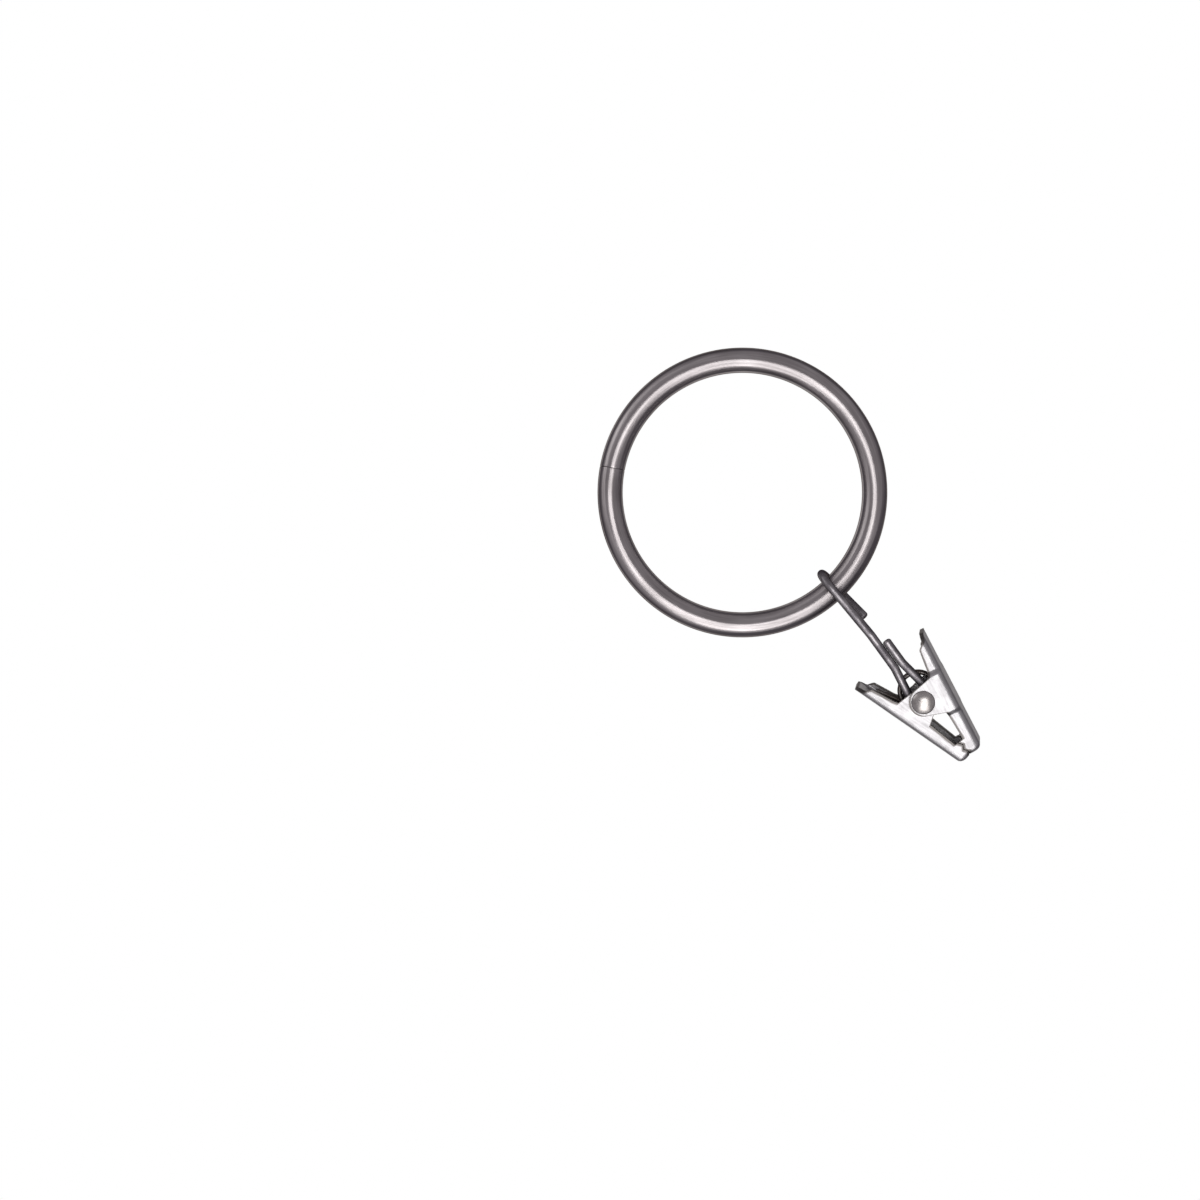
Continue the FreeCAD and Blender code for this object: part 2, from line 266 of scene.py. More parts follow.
def wire_piece(name, line, run, beside, radius, edge, count, material):
    """A wire with eased ends along a line of points, its stations spread evenly by length."""
    along, widths = eased_bar(run[-1], radius, edge, count)
    middle = np.stack([np.interp(along, run, line[:, i]) for i in range(3)], axis=1)
    slope = np.gradient(line, run, axis=0)
    ahead = np.stack([np.interp(along, run, slope[:, i]) for i in range(3)], axis=1)
    ahead /= np.linalg.norm(ahead, axis=1, keepdims=True)
    wire = round_bar(name, middle, ahead, beside, along, widths, WIRE_SIDES)
    return finished_piece(wire, material, sharp_degrees=60)


# Duller nickel on drawn wire: a darker grey than the ring, with draw lines 0.2 mm apart along the
# wire, coarser than real ones so as to show. The plating is broken by dark, rougher patches about
# 1.2 mm wide and twice as long.
WIRE_LINE, WIRE_LINE_STRETCH = 1 / (0.2 * MM), 20
WIRE_PATCH = 1 / (1.2 * MM)
wire_nickel, tree = new_material("dull_nickel_wire")
place = node(tree, "ShaderNodeAttribute", attribute_name="bar").outputs["Vector"]
stretched = node(tree, "ShaderNodeMapping", {
    "Vector": place, "Scale": (WIRE_LINE, WIRE_LINE, WIRE_LINE / WIRE_LINE_STRETCH)}).outputs[0]
lines = node(tree, "ShaderNodeTexNoise", {
    "Vector": stretched, "Scale": 1.0, "Detail": 3.0}).outputs[0]
spread = node(tree, "ShaderNodeMapping", {
    "Vector": place, "Scale": (WIRE_PATCH, WIRE_PATCH, WIRE_PATCH / 2)}).outputs[0]
patches = node(tree, "ShaderNodeTexNoise", {
    "Vector": spread, "Scale": 1.0, "Detail": 5.0}).outputs[0]
clear_of_patch_or_edge_shade = node(tree, "ShaderNodeMapRange", {
    "Value": patches, "From Min": 0.42, "From Max": 0.62}).outputs[0]
plated = node(tree, "ShaderNodeMix", {
    0: lines, 6: linear("#969294"), 7: linear("#b6b2b4")}, data_type="RGBA").outputs[2]
colour = node(tree, "ShaderNodeMix", {
    0: clear_of_patch_or_edge_shade, 6: linear("#7a767a"), 7: plated}, data_type="RGBA").outputs[2]
gloss = node(tree, "ShaderNodeMapRange", {
    "Value": clear_of_patch_or_edge_shade, "To Min": 0.5, "To Max": 0.34}).outputs[0]
relief = node(tree, "ShaderNodeBump", {
    "Height": patches, "Strength": 0.2, "Distance": 0.04 * MM}).outputs[0]
metal = node(tree, "ShaderNodeBsdfPrincipled", {
    "Base Color": colour, "Roughness": gloss, "Normal": relief, "Metallic": 1.0,
    "Specular Tint": GRAZING_EDGE_SHADE_TINT}).outputs[0]
node(tree, "ShaderNodeOutputMaterial", {"Surface": metal})

bend = ROD_RADIUS / math.cos(HOOK_TURN) + HOOK_SLACK + WIRE_RADIUS
side = np.array([math.sin(HOOK_TURN), math.cos(HOOK_TURN), 0.0])
up = np.array([0.0, 0.0, 1.0])
rod_at = np.array([HOOK_ASIDE, 0.0, -math.sqrt(RING_RADIUS**2 - HOOK_ASIDE**2)])
over_rod = np.array([
    rod_at + side * FREE_LEG_BEHIND + np.array([FREE_LEG_ASIDE, 0.0, -FREE_LEG_DROP]),
    rod_at + side * bend - up * HOOK_SHOULDER,
    rod_at + side * bend + up * bend,
    rod_at - side * bend + up * bend,
    rod_at - side * bend - up * HOOK_SHOULDER,
])
eye_spread = math.asin(EYE_RADIUS / math.hypot(STRAND_HALF, EYE_LENGTH))
eye_slope = eye_spread - math.atan2(STRAND_HALF, EYE_LENGTH)
eye_foot = EYE_RADIUS * (1 + math.sin(eye_slope)) / math.cos(eye_slope)
eye_x = np.array([-STRAND_HALF, -STRAND_HALF, -eye_foot, eye_foot, STRAND_HALF, STRAND_HALF])
eye_z = np.array([STEM_LENGTH, EYE_LENGTH, -EYE_RADIUS, -EYE_RADIUS, EYE_LENGTH, TAIL_LENGTH])
round_rivet = in_clip(np.stack([
    eye_x * math.cos(TAIL_LEAN) + eye_z * math.sin(TAIL_LEAN),
    np.full_like(eye_x, LOOP_PLANE),
    eye_z * math.cos(TAIL_LEAN) - eye_x * math.sin(TAIL_LEAN),
], axis=1))
hook_line, hook_run = bent_line(
    np.concatenate([over_rod, round_rivet]),
    [EASY_BEND, bend, bend, EASY_BEND, EASY_BEND, EASY_BEND, EYE_RADIUS, EYE_RADIUS, EASY_BEND],
)
sideways = np.array([[math.sqrt(0.5), math.sqrt(0.5), 0.0]])
hook = wire_piece(
    "hook_wire", hook_line, hook_run, sideways, WIRE_RADIUS, WIRE_END_EDGE, HOOK_STATIONS,
    wire_nickel)
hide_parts("hook")
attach(hook, "hook")

# The two jaws are stamped from 0.6 mm sheet steel, folded to a U and bright plated. Each has an ear
# on both sides for the rivet, a toothed mouth with a closed nose at the foot and a rounded finger
# tongue at the head. The outer jaw's ears are joggled outward and lap over the inner jaw's.
SHEET = 0.6 * MM
HALF_WIDTH = 3.3 * MM
FOLD_RADIUS = 1.0 * MM
SPINE = -4.8 * MM
JAW_LEAN = math.radians(14)
TIP = -10.8 * MM
HANDLE_END = 9.8 * MM
SHOULDER = 3.0 * MM
JOGGLE_RUN = 0.9 * MM
EAR_GAP = 0.06 * MM
EAR_RADIUS = 2.25 * MM
CHEEK_ROOT, CHEEK_TIP = 2.35 * MM, 2.0 * MM
HANDLE_ROOT, HANDLE_CHEEK = 2.1 * MM, 1.7 * MM
NOSE_RADIUS, NOSE_CORNER = 1.1 * MM, 1.0 * MM
TONGUE_LENGTH, TONGUE_CORNER, CHEEK_RUN_OUT = 2.4 * MM, 1.4 * MM, 1.3 * MM
MOUTH_TOP, MOUTH_GAP = 8.5 * MM, 0.16 * MM
TOOTH_COUNT, TOOTH_DEPTH = 2, 0.42 * MM
EAR_ROWS, NOSE_ROWS, PLAIN_ROWS, TONGUE_ROWS = 49, 12, 160, 30
LEAST_ROW = 0.004 * MM
FLAT_COLUMNS, FOLD_COLUMNS, CHEEK_COLUMNS = 7, 9, 12
FOLD_SHARE, LEAST_FOLD = 0.75, 1.05 * SHEET
LEAST_CHEEK, CHEEK_ROOM = 0.02 * MM, 0.3 * MM


def cheek_edge(phase):
    """Heights along a jaw and the reach of its cheeks there: up and down the teeth, in along the
    cheek, out by a tangent to the round ear, and back the same way to the handle."""
    steps = np.arange(2 * TOOTH_COUNT + 1)
    foot = -TIP / math.cos(JAW_LEAN)
    drop = foot + (MOUTH_TOP - foot) * steps / steps[-1]
    tooth = np.where((steps + phase) % 2 == 1, TOOTH_DEPTH / 2, -TOOTH_DEPTH / 2) - MOUTH_GAP / 2
    tooth_reach = tooth * math.cos(JAW_LEAN) - drop * math.sin(JAW_LEAN)
    tooth_height = -tooth * math.sin(JAW_LEAN) - drop * math.cos(JAW_LEAN)
    tooth_height[0] = TIP
    root = SPINE + CHEEK_ROOT
    touch = math.atan2(SHOULDER, root) - math.acos(EAR_RADIUS / math.hypot(root, SHOULDER))
    lobe = np.linspace(-touch, touch, EAR_ROWS)
    height = np.concatenate([
        tooth_height, [tooth_height[-1] + TOOTH_DEPTH / 2, -SHOULDER], EAR_RADIUS * np.sin(lobe),
        [SHOULDER, SHOULDER + JOGGLE_RUN, HANDLE_END - TONGUE_LENGTH, HANDLE_END]])
    reach = np.concatenate([
        tooth_reach, [SPINE + CHEEK_TIP, root], EAR_RADIUS * np.cos(lobe),
        [root, SPINE + HANDLE_ROOT, SPINE + HANDLE_CHEEK, SPINE + HANDLE_CHEEK]])
    return height, reach


def sheet_rows(edge_height):
    """Heights of a jaw's rows: close together round the nose and the tongue's corners, even
    between, and one at each turn of the cheek's edge. Rows that nearly meet are made one."""
    quarter = np.linspace(0, np.pi / 2, NOSE_ROWS)
    nose = TIP + NOSE_RADIUS * (1 - np.cos(quarter))
    plain = np.linspace(TIP + NOSE_RADIUS, HANDLE_END - TONGUE_CORNER, PLAIN_ROWS)
    quarter = np.linspace(0, np.pi / 2, TONGUE_ROWS)
    tongue = HANDLE_END - TONGUE_CORNER * (1 - np.sin(quarter))
    height = np.unique(np.concatenate([nose, plain, tongue, edge_height]).round(7))
    return height[np.concatenate([[True], np.diff(height) > LEAST_ROW])]


def quarter_round(distance, radius):
    """How far a rounded corner draws in at a distance from its end: nothing beyond the radius."""
    inside = np.clip(radius - distance, 0, radius)
    return radius - np.sqrt(radius**2 - inside**2)


def eased(share):
    """A share from none to one that starts and ends level: three of its square less two of its
    cube."""
    part = np.clip(share, 0, 1)
    return part * part * (3 - 2 * part)


def folded_jaw(name, phase, joggle, facing):
    """A folded sheet. Each row of the grid crosses the sheet at one height: from the middle of the
    spine it runs out flat, round the fold and up the cheek to the cut edge, alike on both sides.
    A wall from cheek to cheek closes the foot. The rows lean with the jaw and face its side."""
    edge_height, edge_reach = cheek_edge(phase)
    height = sheet_rows(edge_height)
    reach = np.interp(height, edge_height, edge_reach)

    spine = SPINE + quarter_round(height - TIP, NOSE_RADIUS)
    bulge = joggle * eased((SHOULDER + JOGGLE_RUN - np.abs(height)) / JOGGLE_RUN)
    half = HALF_WIDTH + bulge - quarter_round(height - TIP, NOSE_CORNER)
    fold = np.clip(FOLD_SHARE * (reach - spine), LEAST_FOLD, FOLD_RADIUS)
    flat = half - fold
    bent = flat + fold * np.pi / 2
    cheek = bent + np.maximum(reach - spine - fold, LEAST_CHEEK)
    fade = eased((HANDLE_END - TONGUE_LENGTH + CHEEK_RUN_OUT - height) / CHEEK_RUN_OUT)
    width = half - quarter_round(HANDLE_END - height, TONGUE_CORNER) + (cheek - half) * fade

    full = np.maximum(width, bent + CHEEK_ROOM)
    share = np.concatenate([
        np.linspace(0, 1, FLAT_COLUMNS),
        np.linspace(1, 2, FOLD_COLUMNS)[1:],
        np.linspace(2, 3, CHEEK_COLUMNS)[1:],
    ])
    knots = np.stack([0 * flat, flat, bent, full], axis=1)
    low = np.minimum(share.astype(int), 2)
    out = knots[:, low] + (knots[:, low + 1] - knots[:, low]) * (share - low)
    out = out * (width / full)[:, None]
    out = np.concatenate([-out[:, :0:-1], out], axis=1)

    size = np.abs(out)
    turn = np.clip((size - flat[:, None]) / fold[:, None], 0, np.pi / 2)
    rise = np.maximum(size - bent[:, None], 0)
    x = spine[:, None] + fold[:, None] * (1 - np.cos(turn)) + rise
    y = np.sign(out) * (np.minimum(size, flat[:, None]) + fold[:, None] * np.sin(turn))
    z = np.broadcast_to(height[:, None], x.shape)
    leaning_x = x * math.cos(JAW_LEAN) - z * math.sin(JAW_LEAN)
    leaning_z = x * math.sin(JAW_LEAN) + z * math.cos(JAW_LEAN)
    points = in_clip(np.stack([facing * leaning_x, facing * y, leaning_z], axis=-1))
    # The distance to the cut edge is kept for the material's painted dark edge shade.
    cut_edge = np.minimum(width[:, None] - size, HANDLE_END - z)
    marks = {"sheet": np.stack([out, z, 0 * z], axis=-1), "edge": cut_edge}

    columns = x.shape[1]
    pair = np.arange(columns // 2)
    foot = np.stack([pair, pair + 1, columns - 2 - pair, columns - 1 - pair], axis=1).tolist()
    foot[-1].pop(2)
    return grid_mesh(name, points, False, marks, foot)


def thick_sheet(mesh, material):
    """The folded sheet as an object: wall thickness inward from the outer face, crisp cut edges."""
    piece = finished_piece(mesh, material, sharp_degrees=50)
    wall = piece.modifiers.new("wall", "SOLIDIFY")
    wall.thickness = SHEET
    wall.offset = -1
    walled = piece.evaluated_get(bpy.context.evaluated_depsgraph_get())
    solid = bpy.data.meshes.new_from_object(walled)
    piece.modifiers.clear()
    piece.data = solid
    bpy.data.meshes.remove(mesh)
    solid.name = piece.name
    solid.set_sharp_from_angle(angle=math.radians(40))
    return piece


# Bright nickel on rolled sheet: a light silver with a soft sheen and soft clouds 2 mm wide. Its
# rolling grain along the jaw is 0.3 mm apart, coarser than the real one so as to show. Within
# about 0.4 mm of the cut edges the colour goes dark grey: painted shade, a dark outline at the
# edges.
SHEET_GRAIN, GRAIN_STRETCH = 1 / (0.3 * MM), 14
SHEET_CLOUD = 1 / (2.0 * MM)
bright_nickel, tree = new_material("bright_nickel_sheet")
place = node(tree, "ShaderNodeAttribute", attribute_name="sheet").outputs["Vector"]
border = node(tree, "ShaderNodeAttribute", attribute_name="edge").outputs["Fac"]
stretched = node(tree, "ShaderNodeMapping", {
    "Vector": place, "Scale": (SHEET_GRAIN, SHEET_GRAIN / GRAIN_STRETCH, SHEET_GRAIN)}).outputs[0]
grain = node(tree, "ShaderNodeTexNoise", {
    "Vector": stretched, "Scale": 1.0, "Detail": 3.0}).outputs[0]
spread = node(tree, "ShaderNodeMapping", {
    "Vector": place, "Scale": (SHEET_CLOUD, SHEET_CLOUD, SHEET_CLOUD)}).outputs[0]
clouds = node(tree, "ShaderNodeTexNoise", {
    "Vector": spread, "Scale": 1.0, "Detail": 5.0}).outputs[0]
both = node(tree, "ShaderNodeMath", {0: grain, 1: clouds}, operation="ADD").outputs[0]
shade = node(tree, "ShaderNodeMapRange", {
    "Value": both, "From Min": 0.75, "From Max": 1.25}).outputs[0]
plated = node(tree, "ShaderNodeMix", {
    0: shade, 6: linear("#b1afb0"), 7: linear("#c6c4c5")}, data_type="RGBA").outputs[2]
uneven = node(tree, "ShaderNodeMath", {0: clouds, 1: 0.9 * MM}, operation="MULTIPLY").outputs[0]
clear_of_patch_or_edge_shade = node(tree, "ShaderNodeMapRange", {
    "Value": border, "From Min": 0.25 * MM, "From Max": uneven}).outputs[0]
# Near the cut edges the plated colour gives way to dark grey: painted shade, a dark outline.
colour = node(tree, "ShaderNodeMix", {
    0: clear_of_patch_or_edge_shade, 6: linear("#6b6765"), 7: plated}, data_type="RGBA").outputs[2]
gloss = node(tree, "ShaderNodeMapRange", {
    "Value": both, "From Min": 0.7, "From Max": 1.3, "To Min": 0.48, "To Max": 0.38}).outputs[0]
relief = node(tree, "ShaderNodeBump", {
    "Height": both, "Strength": 0.1, "Distance": 0.03 * MM}).outputs[0]
metal = node(tree, "ShaderNodeBsdfPrincipled", {
    "Base Color": colour, "Roughness": gloss, "Normal": relief, "Metallic": 1.0,
    "Specular Tint": linear("#b8b5b4")}).outputs[0]
node(tree, "ShaderNodeOutputMaterial", {"Surface": metal})

outer_jaw = thick_sheet(folded_jaw("outer_jaw_sheet", 1, SHEET + EAR_GAP, -1), bright_nickel)
inner_jaw = thick_sheet(folded_jaw("inner_jaw_sheet", 0, 0.0, 1), bright_nickel)
for jaw, body in ((outer_jaw, "outer_jaw"), (inner_jaw, "inner_jaw")):
    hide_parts(body)
    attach(jaw, body)

# The spring is hard 0.7 mm wire, unplated, wound in a close coil round the rivet between the hook's
# eye and the far ears. A leg behind each handle presses it outward, which keeps the mouth shut. It
# is drawn in two halves that meet in the coil, one for each leg.
SPRING_RADIUS = 0.35 * MM
SPRING_END_EDGE = 0.08 * MM
SPRING_STATIONS = 200
COIL_RADIUS = 2.9 * MM
COIL_HEIGHT = 1.45 * MM
COIL_PITCH = 0.79 * MM
COIL_START, COIL_END = -0.9 * MM, 2.5 * MM
COIL_POINTS, LEG_POINTS = 120, 60
LEG_REACH = 6.6 * MM
LEG_CLEAR = 0.45 * MM

# Bare spring steel: dark grey and fairly rough, with a few brown-grey stains 1.5 mm wide. Its draw
# marks along the wire are 0.15 mm apart, coarser than real ones so as to show.
SPRING_LINE, SPRING_LINE_STRETCH = 1 / (0.15 * MM), 15
SPRING_STAIN = 1 / (1.5 * MM)
spring_steel, tree = new_material("bare_spring_steel")
place = node(tree, "ShaderNodeAttribute", attribute_name="bar").outputs["Vector"]
stretched = node(tree, "ShaderNodeMapping", {
    "Vector": place,
    "Scale": (SPRING_LINE, SPRING_LINE, SPRING_LINE / SPRING_LINE_STRETCH)}).outputs[0]
lines = node(tree, "ShaderNodeTexNoise", {
    "Vector": stretched, "Scale": 1.0, "Detail": 3.0}).outputs[0]
spread = node(tree, "ShaderNodeMapping", {
    "Vector": place, "Scale": (SPRING_STAIN, SPRING_STAIN, SPRING_STAIN / 2)}).outputs[0]
stains = node(tree, "ShaderNodeTexNoise", {
    "Vector": spread, "Scale": 1.0, "Detail": 4.0}).outputs[0]
drawn = node(tree, "ShaderNodeMix", {
    0: lines, 6: linear("#6d6866"), 7: linear("#8f8a87")}, data_type="RGBA").outputs[2]
dirty = node(tree, "ShaderNodeMapRange", {
    "Value": stains, "From Min": 0.5, "From Max": 0.7}).outputs[0]
colour = node(tree, "ShaderNodeMix", {
    0: dirty, 6: drawn, 7: linear("#5d5048")}, data_type="RGBA").outputs[2]
gloss = node(tree, "ShaderNodeMapRange", {
    "Value": stains, "From Min": 0.3, "From Max": 0.7, "To Min": 0.34, "To Max": 0.5}).outputs[0]
relief = node(tree, "ShaderNodeBump", {
    "Height": lines, "Strength": 0.15, "Distance": 0.02 * MM}).outputs[0]
metal = node(tree, "ShaderNodeBsdfPrincipled", {
    "Base Color": colour, "Roughness": gloss, "Normal": relief, "Metallic": 1.0,
    "Specular Tint": GRAZING_EDGE_SHADE_TINT}).outputs[0]
node(tree, "ShaderNodeOutputMaterial", {"Surface": metal})

handle_face = -SPINE - SHEET - LEG_CLEAR
leg_x = handle_face * math.cos(JAW_LEAN) + LEG_REACH * math.sin(JAW_LEAN)
leg_z = LEG_REACH * math.cos(JAW_LEAN) - handle_face * math.sin(JAW_LEAN) - COIL_HEIGHT
leg_far = math.hypot(leg_x, leg_z)
leg_length = math.sqrt(leg_far**2 - COIL_RADIUS**2)
leg_touch = math.atan2(leg_z, leg_x) - math.acos(COIL_RADIUS / leg_far)
part_turn = 0.5 + leg_touch / math.pi
climb = COIL_PITCH / (2 * math.pi * COIL_RADIUS)
coil_room = COIL_END - COIL_START - 2 * SPRING_RADIUS - 2 * leg_length * climb
coil_turns = math.floor(coil_room / COIL_PITCH - part_turn) + part_turn
coil_depth = COIL_PITCH * coil_turns
coil_back = (COIL_START + COIL_END + coil_depth) / 2


def spring_half(end_turn, way):
    """Half the coil from its middle to one leg: a helix about the rivet, then a straight run on
    along its tangent. Turns count from the far end, and each full turn steps one pitch toward the
    near side."""
    turns = np.linspace(coil_turns / 2, end_turn, COIL_POINTS)
    angle = math.pi - leg_touch + 2 * np.pi * turns
    coil = np.stack([
        COIL_RADIUS * np.cos(angle),
        coil_back - COIL_PITCH * turns,
        COIL_HEIGHT + COIL_RADIUS * np.sin(angle),
    ], axis=1)
    tangent = way * np.array([-math.sin(angle[-1]), -climb, math.cos(angle[-1])])
    leg = coil[-1] + tangent * np.linspace(0, leg_length, LEG_POINTS)[1:, None]
    return in_clip(np.concatenate([coil, leg]))


along_rivet = in_clip([[0, 1, 0]]) - in_clip([[0, 0, 0]])
for name, body, end_turn, way in (
    ("spring_far", "inner_jaw", 0.0, -1),
    ("spring_near", "outer_jaw", coil_turns, 1),
):
    line = spring_half(end_turn, way)
    half_spring = wire_piece(
        name, line, run_along(line), along_rivet, SPRING_RADIUS, SPRING_END_EDGE, SPRING_STATIONS,
        spring_steel)
    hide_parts("spring")
    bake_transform(half_spring)

# The rivet is a nickel-plated half-tubular steel pin through both jaws' ears, the spring and the
# hook's eye. Its domed head shows on the near side, and its hollow end is rolled over to a rim on
# the far side.
RIVET_RADIUS = 0.95 * MM
RIVET_SIDES = 64
SEAT = 3.99 * MM
HEAD_RADIUS, HEAD_RIM, HEAD_HEIGHT = 1.85 * MM, 0.2 * MM, 0.75 * MM
HEAD_EASE = 0.06 * MM
ROLL_RADIUS, ROLL_HEIGHT = 1.6 * MM, 0.6 * MM
TUBE_RADIUS, TUBE_DEPTH = 0.5 * MM, 2.2 * MM
DOME_ROWS, ROLL_ROWS = 24, 24

# Nickel on a cold-headed rivet: light grey, with small dents about 0.6 mm wide. The heading tool
# leaves rings 0.15 mm apart, drawn coarser than real ones so as to show.
TOOL_RING = 1 / (0.15 * MM)
DENT = 1 / (0.6 * MM)
rivet_nickel, tree = new_material("headed_nickel_rivet")
place = node(tree, "ShaderNodeAttribute", attribute_name="turned").outputs["Vector"]
spot = node(tree, "ShaderNodeTexCoord").outputs["Object"]
stretched = node(tree, "ShaderNodeMapping", {
    "Vector": place, "Scale": (TOOL_RING, TOOL_RING, 1.0)}).outputs[0]
rings = node(tree, "ShaderNodeTexNoise", {
    "Vector": stretched, "Scale": 1.0, "Detail": 2.0}).outputs[0]
dents = node(tree, "ShaderNodeTexNoise", {"Vector": spot, "Scale": DENT, "Detail": 3.0}).outputs[0]
both = node(tree, "ShaderNodeMath", {0: rings, 1: dents}, operation="ADD").outputs[0]
shade = node(tree, "ShaderNodeMapRange", {
    "Value": both, "From Min": 0.75, "From Max": 1.25}).outputs[0]
colour = node(tree, "ShaderNodeMix", {
    0: shade, 6: linear("#a9a3a0"), 7: linear("#c8c3c0")}, data_type="RGBA").outputs[2]
gloss = node(tree, "ShaderNodeMapRange", {
    "Value": both, "From Min": 0.7, "From Max": 1.3, "To Min": 0.36, "To Max": 0.24}).outputs[0]
relief = node(tree, "ShaderNodeBump", {
    "Height": both, "Strength": 0.15, "Distance": 0.04 * MM}).outputs[0]
metal = node(tree, "ShaderNodeBsdfPrincipled", {
    "Base Color": colour, "Roughness": gloss, "Normal": relief, "Metallic": 1.0,
    "Specular Tint": GRAZING_EDGE_SHADE_TINT}).outputs[0]
node(tree, "ShaderNodeOutputMaterial", {"Surface": metal})


def rivet_profile():
    """Radius and place along the pin, from the crown of the head to the foot of the hollow end: a
    dome that falls as a circle's arc, an eased rim, the plain shank, a half-round roll and the
    straight hollow."""
    cap = HEAD_HEIGHT - HEAD_RIM
    ball = (HEAD_RADIUS**2 + cap**2) / (2 * cap)
    fall = np.linspace(0, math.asin((HEAD_RADIUS - HEAD_EASE) / ball), DOME_ROWS)
    crown = -SEAT - HEAD_HEIGHT
    dome = np.stack([ball * np.sin(fall), crown + ball * (1 - np.cos(fall))], axis=1)
    rim = [[HEAD_RADIUS, -SEAT - HEAD_RIM + HEAD_EASE], [HEAD_RADIUS, -SEAT]]
    shank = [[RIVET_RADIUS, -SEAT], [RIVET_RADIUS, SEAT]]
    lap = np.linspace(0, np.pi, ROLL_ROWS)
    middle = (ROLL_RADIUS + TUBE_RADIUS) / 2
    roll = np.stack([
        middle + (ROLL_RADIUS - middle) * np.cos(lap), SEAT + ROLL_HEIGHT * np.sin(lap)], axis=1)
    hollow = [[TUBE_RADIUS, SEAT - TUBE_DEPTH], [0.0, SEAT - TUBE_DEPTH]]
    return np.concatenate([dome, rim, shank, roll, hollow])


profile = rivet_profile()
around = np.linspace(0, 2 * np.pi, RIVET_SIDES, endpoint=False)
rivet_points = np.stack([
    profile[:, :1] * np.cos(around),
    np.broadcast_to(profile[:, 1:], (len(profile), RIVET_SIDES)),
    profile[:, :1] * np.sin(around),
], axis=-1)
turned = np.broadcast_to(np.pad(profile, ((0, 0), (0, 1)))[:, None], rivet_points.shape)
rivet_mesh = grid_mesh("rivet_pin", in_clip(rivet_points), True, {"turned": turned})
rivet = finished_piece(rivet_mesh, rivet_nickel, sharp_degrees=40)
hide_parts("rivet")
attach(rivet, "pivot")

# The stage: a wide paper sweep behind and far below the hanging ring, with a painted pool of light
# that is white behind the ring and fades to grey round it, in a room that is lighter before the
# ring than behind. One soft lamp stands low in front, with a weaker one below it and another above.
SWEEP_FRONT, SWEEP_BACK, SWEEP_HALF = -0.5, 0.5, 1.2
SWEEP_FLOOR, SWEEP_TOP, SWEEP_ROUND = -0.9, 1.2, 0.25
SWEEP_ROWS = 24
WHITE_MIDDLE, WHITE_RADIUS, GREY_RADIUS = (-0.03, SWEEP_BACK, 0.0), 0.38, 0.8
PAPER_WHITE, ROOM_BEHIND, ROOM_BEFORE = linear("#ffffff"), linear("#605d63"), linear("#99969a")
BEFORE_END, BEHIND_START = -0.2, 0.3

# White paper with a painted pool of light, white behind the ring and grey further off. This tone
# glows as written to the camera and in reflections; for the light that falls on it, it is plain
# matt paper.
stage_white, tree = new_material("white_sweep_paper")
spot = node(tree, "ShaderNodeTexCoord").outputs["Object"]
away = node(tree, "ShaderNodeVectorMath", {
    0: spot, 1: WHITE_MIDDLE}, operation="DISTANCE").outputs["Value"]
fade = node(tree, "ShaderNodeMapRange", {
    "Value": away, "From Min": WHITE_RADIUS, "From Max": GREY_RADIUS},
    interpolation_type="SMOOTHSTEP").outputs[0]
tone = node(tree, "ShaderNodeMix", {
    0: fade, 6: PAPER_WHITE, 7: ROOM_BEHIND}, data_type="RGBA").outputs[2]
paper = node(tree, "ShaderNodeBsdfDiffuse", {"Color": tone}).outputs[0]
shine = node(tree, "ShaderNodeEmission", {"Color": tone, "Strength": 1.0}).outputs[0]
path = node(tree, "ShaderNodeLightPath").outputs
seen = node(tree, "ShaderNodeMath", {
    0: path["Is Camera Ray"], 1: path["Is Glossy Ray"]}, operation="MAXIMUM").outputs[0]
shown = node(tree, "ShaderNodeMath", {
    0: seen, 1: path["Is Transmission Ray"]}, operation="MAXIMUM").outputs[0]
surface = node(tree, "ShaderNodeMixShader", {0: shown, 1: paper, 2: shine}).outputs[0]
node(tree, "ShaderNodeOutputMaterial", {"Surface": surface})

curve = np.linspace(0, np.pi / 2, SWEEP_ROWS)
sweep_y = np.concatenate([
    [SWEEP_FRONT], SWEEP_BACK - SWEEP_ROUND * (1 - np.sin(curve)), [SWEEP_BACK]])
sweep_z = np.concatenate([
    [SWEEP_FLOOR], SWEEP_FLOOR + SWEEP_ROUND * (1 - np.cos(curve)), [SWEEP_TOP]])
sweep_x, sweep_y = np.meshgrid([-SWEEP_HALF, SWEEP_HALF], sweep_y)
sweep_z = np.broadcast_to(sweep_z[:, None], sweep_x.shape)
sweep_points = np.stack([sweep_x, sweep_y, sweep_z], axis=-1)
sweep_mesh = grid_mesh("white_sweep", sweep_points, False, {})
sweep = finished_piece(sweep_mesh, stage_white, sharp_degrees=60)

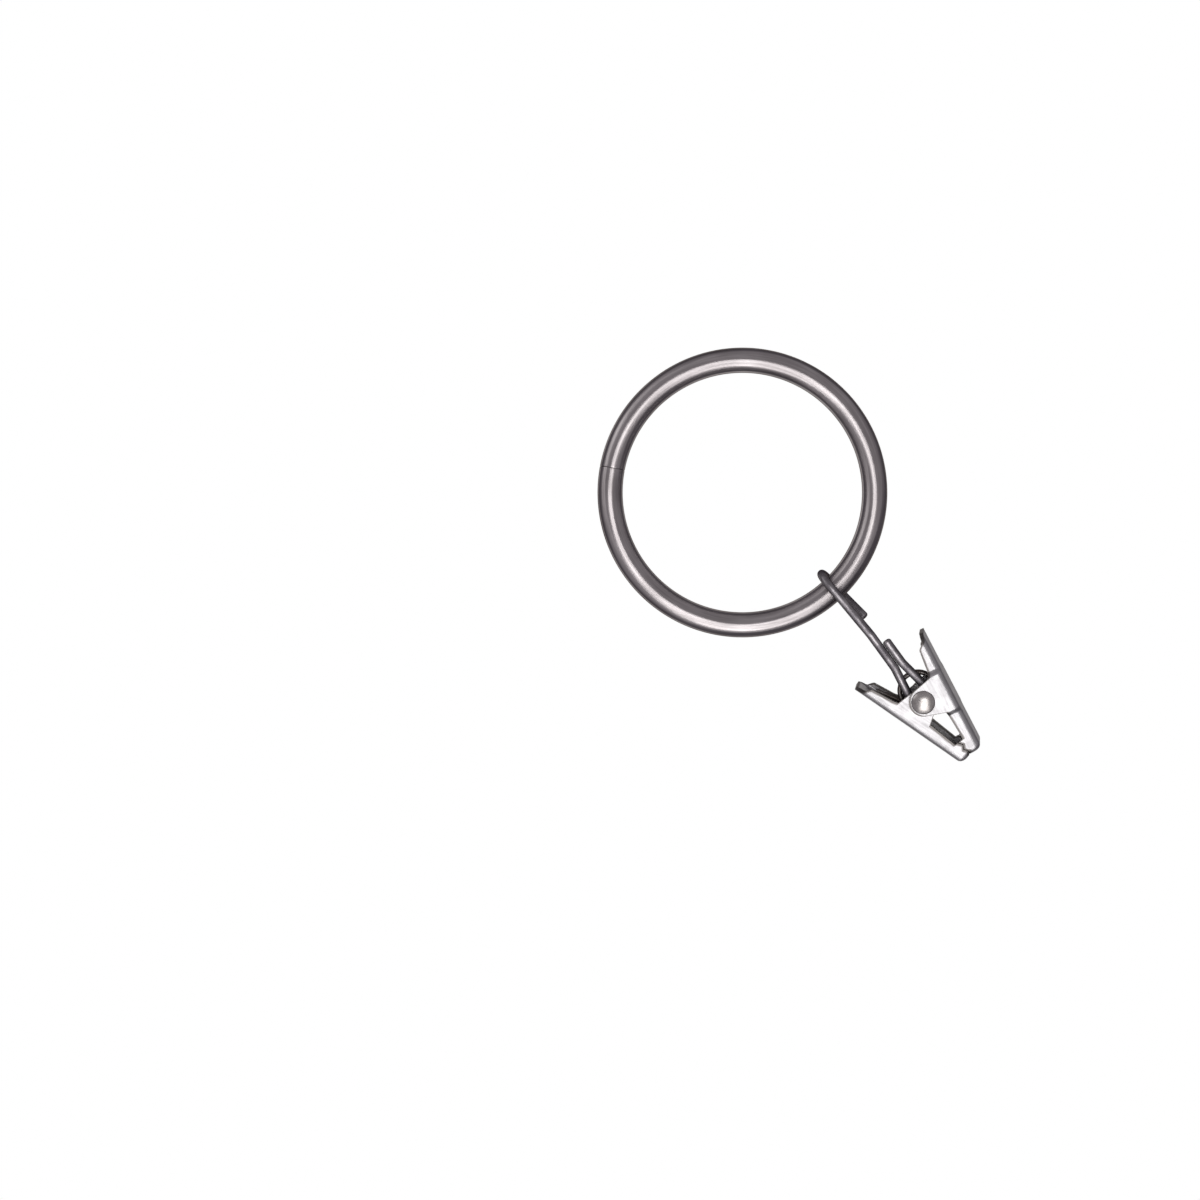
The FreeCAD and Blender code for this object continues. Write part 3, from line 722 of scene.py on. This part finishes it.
world = bpy.data.worlds.new("grey_room")
bpy.context.scene.world = world
world.use_nodes = True
tree = world.node_tree
tree.nodes.clear()
ray = node(tree, "ShaderNodeTexCoord").outputs["Generated"]
depth = node(tree, "ShaderNodeSeparateXYZ", {0: ray}).outputs["Y"]
behind = node(tree, "ShaderNodeMapRange", {
    "Value": depth, "From Min": BEFORE_END, "From Max": BEHIND_START},
    interpolation_type="SMOOTHSTEP").outputs[0]
tone = node(tree, "ShaderNodeMix", {
    0: behind, 6: ROOM_BEFORE, 7: ROOM_BEHIND}, data_type="RGBA").outputs[2]
room_light = node(tree, "ShaderNodeBackground", {"Color": tone, "Strength": 1.0}).outputs[0]
node(tree, "ShaderNodeOutputWorld", {"Surface": room_light})

VIEW_ROLL = math.radians(41.5)
VIEW_DISTANCE = 0.35
VIEW_CENTRE = (-0.02823, 0.0, 0.0022)
FRAME_WIDTH = 0.1905
SENSOR_WIDTH = 36
right = np.array([math.cos(VIEW_ROLL), 0.0, -math.sin(VIEW_ROLL)])
above = np.array([math.sin(VIEW_ROLL), 0.0, math.cos(VIEW_ROLL)])
toward = np.array([0.0, -1.0, 0.0])


def soft_lamp(name, direction, distance, width, height, power):
    """A soft box as an area lamp, set off along a direction from the ring and turned to face it.
    Its width lies level in the picture and its height stands up from there."""
    lamp = bpy.data.lights.new(name, "AREA")
    lamp.shape = "RECTANGLE"
    lamp.size, lamp.size_y, lamp.energy = width, height, power
    stand = bpy.data.objects.new(name, lamp)
    bpy.context.scene.collection.objects.link(stand)
    back = direction / np.linalg.norm(direction)
    stand.location = back * distance
    across = np.cross(above, back)
    across /= np.linalg.norm(across)
    rise = np.cross(back, across)
    stand.rotation_euler = mathutils.Matrix((across, rise, back)).transposed().to_euler()


soft_lamp(
    "low_soft_box", 0.88 * toward - 0.47 * above - 0.04 * right,
    distance=0.6, width=0.36, height=0.74, power=2.35)
soft_lamp(
    "floor_soft_box", 0.5 * toward - 0.87 * above,
    distance=0.7, width=0.6, height=0.4, power=0.41)
soft_lamp(
    "high_soft_box", 0.37 * toward + 0.37 * above - 0.85 * right,
    distance=0.9, width=0.5, height=0.5, power=0.63)

camera = bpy.data.cameras.new("photo_camera")
camera.sensor_width = SENSOR_WIDTH
camera.lens = SENSOR_WIDTH * VIEW_DISTANCE / FRAME_WIDTH
camera.clip_start, camera.clip_end = 0.01, 20
viewer = bpy.data.objects.new("photo_camera", camera)
viewer.location = np.array(VIEW_CENTRE) + toward * VIEW_DISTANCE
viewer.rotation_euler = mathutils.Matrix((right, above, toward)).transposed().to_euler()
bpy.context.scene.collection.objects.link(viewer)
bpy.context.scene.camera = viewer
bpy.context.scene.view_settings.view_transform = "Standard"
